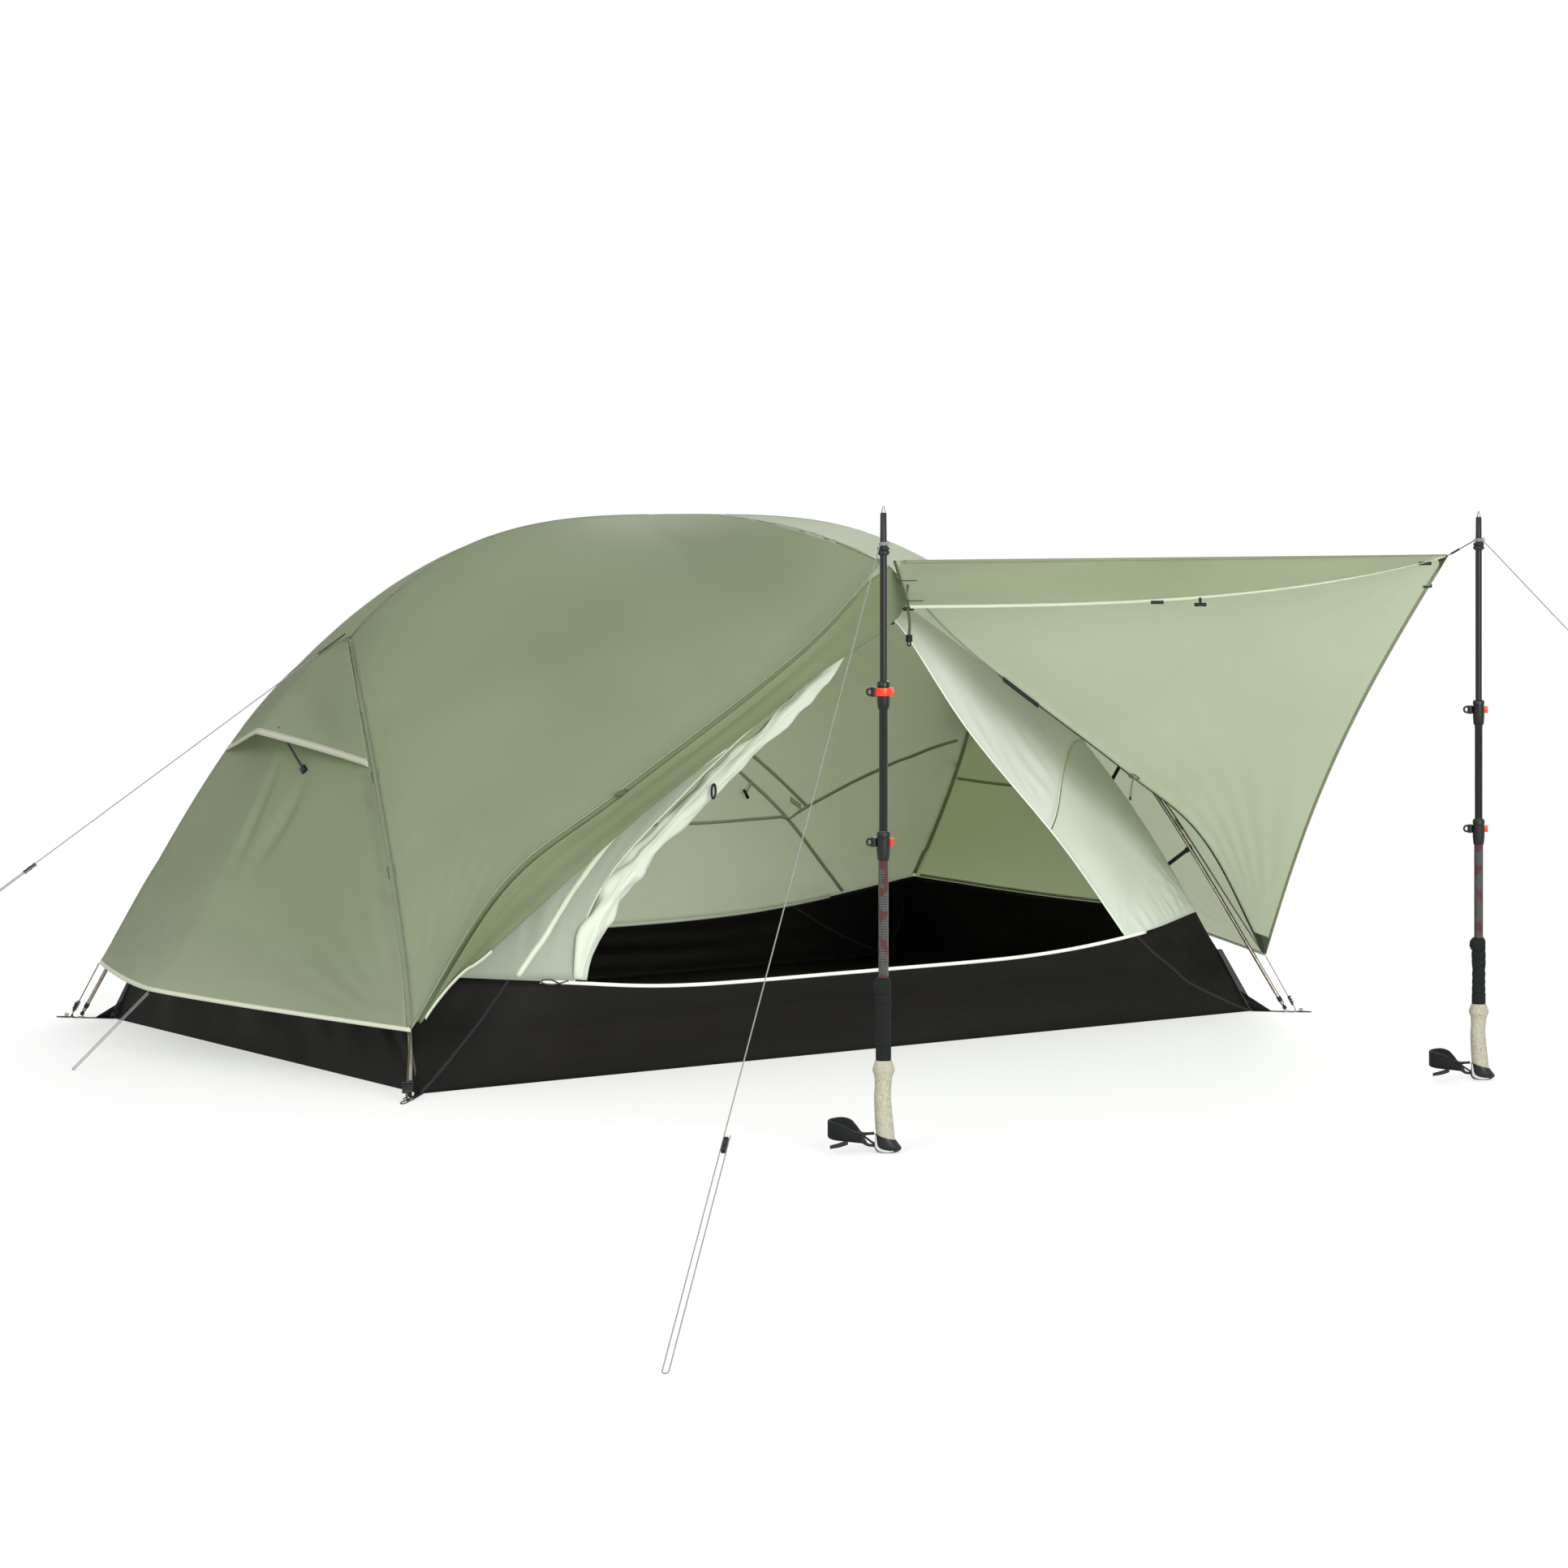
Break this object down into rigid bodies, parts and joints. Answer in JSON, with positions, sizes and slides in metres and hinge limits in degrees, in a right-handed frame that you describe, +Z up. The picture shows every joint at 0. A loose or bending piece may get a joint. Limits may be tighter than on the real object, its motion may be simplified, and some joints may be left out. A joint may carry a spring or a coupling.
{
  "type": "two-person ultralight tent",
  "caption": "Pitched two-person ultralight tent with its inner tent, and one door half raised as an awning on two trekking poles.",
  "frame": {"origin": "centre of the underside of the floor, on the ground", "axes": "+X along the tent's length to its right end, -Y out of the open door, +Z up"},
  "size_m": [3.671, 4.2234, 1.121],
  "materials": {
    "flysheet": "satin sage green",
    "inner_cloth": "sheer pale green",
    "floor_cloth": "coated near-black",
    "pole_alloy": "anodised",
    "black_plastic": "moulded",
    "black_tube": "satin black",
    "foam": "ribbed foam",
    "cork": "pale cork",
    "lever_red": "gloss red",
    "webbing": "woven black",
    "guy_line": "braided grey"
  },
  "bodies": {
    "tent": {"brow_line": "guy_line", "brow_pole": "pole_alloy", "brow_swivel": "black_plastic", "corner_strap_far_left": "webbing", "corner_strap_far_right": "webbing", "corner_strap_near_left": "webbing", "corner_strap_near_right": "webbing", "end_line_left": "guy_line", "end_line_right": "guy_line", "far_pole_tip_section": "black_tube", "floor_tub": "floor_cloth", "fly_door_rolled": "flysheet", "fly_end_left": "flysheet", "fly_end_right": "flysheet", "fly_roof_far_left": "flysheet", "fly_roof_far_right": "flysheet", "fly_roof_near_left": "flysheet", "fly_roof_near_right": "flysheet", "fly_vestibule_far": "flysheet", "guy_line_far": "guy_line", "guy_line_left": "guy_line", "guy_line_near": "guy_line", "hub_left": "black_plastic", "hub_right": "black_plastic", "inner_door_rolled": "inner_cloth", "inner_end_left": "inner_cloth", "inner_end_right": "inner_cloth", "inner_wall_far_left": "inner_cloth", "inner_wall_far_right": "inner_cloth", "inner_wall_near_left": "inner_cloth", "inner_wall_near_right": "inner_cloth", "leg_pole_far_left": "pole_alloy", "leg_pole_far_right": "pole_alloy", "leg_pole_near_left": "pole_alloy", "leg_pole_near_right": "pole_alloy", "near_pole_tip_section": "black_tube", "ridge_pole": "pole_alloy", "vent_hood_left": "flysheet", "vent_hood_right": "flysheet"},
    "awning": {"fly_awning": "flysheet", "awning_line": "guy_line"},
    "strut_left": {"vent_strut_left": "black_plastic"},
    "strut_right": {"vent_strut_right": "black_plastic"},
    "near_pole_middle": {"near_pole_middle_section": "black_tube"},
    "near_pole_grip": {"near_pole_grip_section": "black_tube", "near_pole_foam_grip": "foam", "near_pole_cork_grip": "cork", "near_pole_wrist_strap": "webbing"},
    "near_pole_upper_catch": {"near_pole_upper_lever": "lever_red"},
    "near_pole_lower_catch": {"near_pole_lower_lever": "lever_red"},
    "far_pole_middle": {"far_pole_middle_section": "black_tube"},
    "far_pole_grip": {"far_pole_grip_section": "black_tube", "far_pole_foam_grip": "foam", "far_pole_cork_grip": "cork", "far_pole_wrist_strap": "webbing"},
    "far_pole_upper_catch": {"far_pole_upper_lever": "lever_red"},
    "far_pole_lower_catch": {"far_pole_lower_lever": "lever_red"},
    "slider_near": {"tensioner_near": "black_plastic"},
    "slider_far": {"tensioner_far": "black_plastic"},
    "slider_left": {"tensioner_left": "black_plastic"}
  },
  "joints": [
    {"name": "awning_fold", "type": "hinge", "parent": "tent", "child": "awning", "pos_m": [0, -0.73, 1.01], "axis": [0.7749, 0.032, -0.6313], "range_deg": [0, 78]},
    {"name": "strut_left_fold", "type": "hinge", "parent": "tent", "child": "strut_left", "pos_m": [-1.03492, 0, 0.58323], "axis": [0, -1, 0], "range_deg": [0, 75]},
    {"name": "strut_right_fold", "type": "hinge", "parent": "tent", "child": "strut_right", "pos_m": [1.03492, 0, 0.58323], "axis": [0, 1, 0], "range_deg": [0, 75]},
    {"name": "near_pole_upper_slide", "type": "slide", "parent": "tent", "child": "near_pole_middle", "axis": [0, 0, 1], "range_m": [0, 0.2]},
    {"name": "near_pole_lower_slide", "type": "slide", "parent": "near_pole_middle", "child": "near_pole_grip", "axis": [0, 0, 1], "range_m": [0, 0.2]},
    {"name": "near_pole_upper_catch_turn", "type": "hinge", "parent": "near_pole_middle", "child": "near_pole_upper_catch", "pos_m": [-0.75256, -1.70843, 0.799], "axis": [0, 0, -1], "range_deg": [0, 100]},
    {"name": "near_pole_lower_catch_turn", "type": "hinge", "parent": "near_pole_grip", "child": "near_pole_lower_catch", "pos_m": [-0.75256, -1.70843, 0.5385], "axis": [0, 0, 1], "range_deg": [0, 100]},
    {"name": "far_pole_upper_slide", "type": "slide", "parent": "tent", "child": "far_pole_middle", "axis": [0, 0, 1], "range_m": [0, 0.2]},
    {"name": "far_pole_lower_slide", "type": "slide", "parent": "far_pole_middle", "child": "far_pole_grip", "axis": [0, 0, 1], "range_m": [0, 0.18]},
    {"name": "far_pole_upper_catch_turn", "type": "hinge", "parent": "far_pole_middle", "child": "far_pole_upper_catch", "pos_m": [0.71444, -1.68843, 0.724], "axis": [0, 0, 1], "range_deg": [0, 100]},
    {"name": "far_pole_lower_catch_turn", "type": "hinge", "parent": "far_pole_grip", "child": "far_pole_lower_catch", "pos_m": [0.71444, -1.68843, 0.491], "axis": [0, 0, 1], "range_deg": [0, 100]},
    {"name": "slider_near_run", "type": "slide", "parent": "tent", "child": "slider_near", "axis": [-0.6148, -0.5958, -0.5168], "range_m": [-0.3, 0.25]},
    {"name": "slider_far_run", "type": "slide", "parent": "tent", "child": "slider_far", "axis": [0.4619, -0.5032, -0.7304], "range_m": [-0.3, 0.25]},
    {"name": "slider_left_run", "type": "slide", "parent": "tent", "child": "slider_left", "axis": [-0.8444, 0, -0.5357], "range_m": [-0.3, 0.25]}
  ]
}
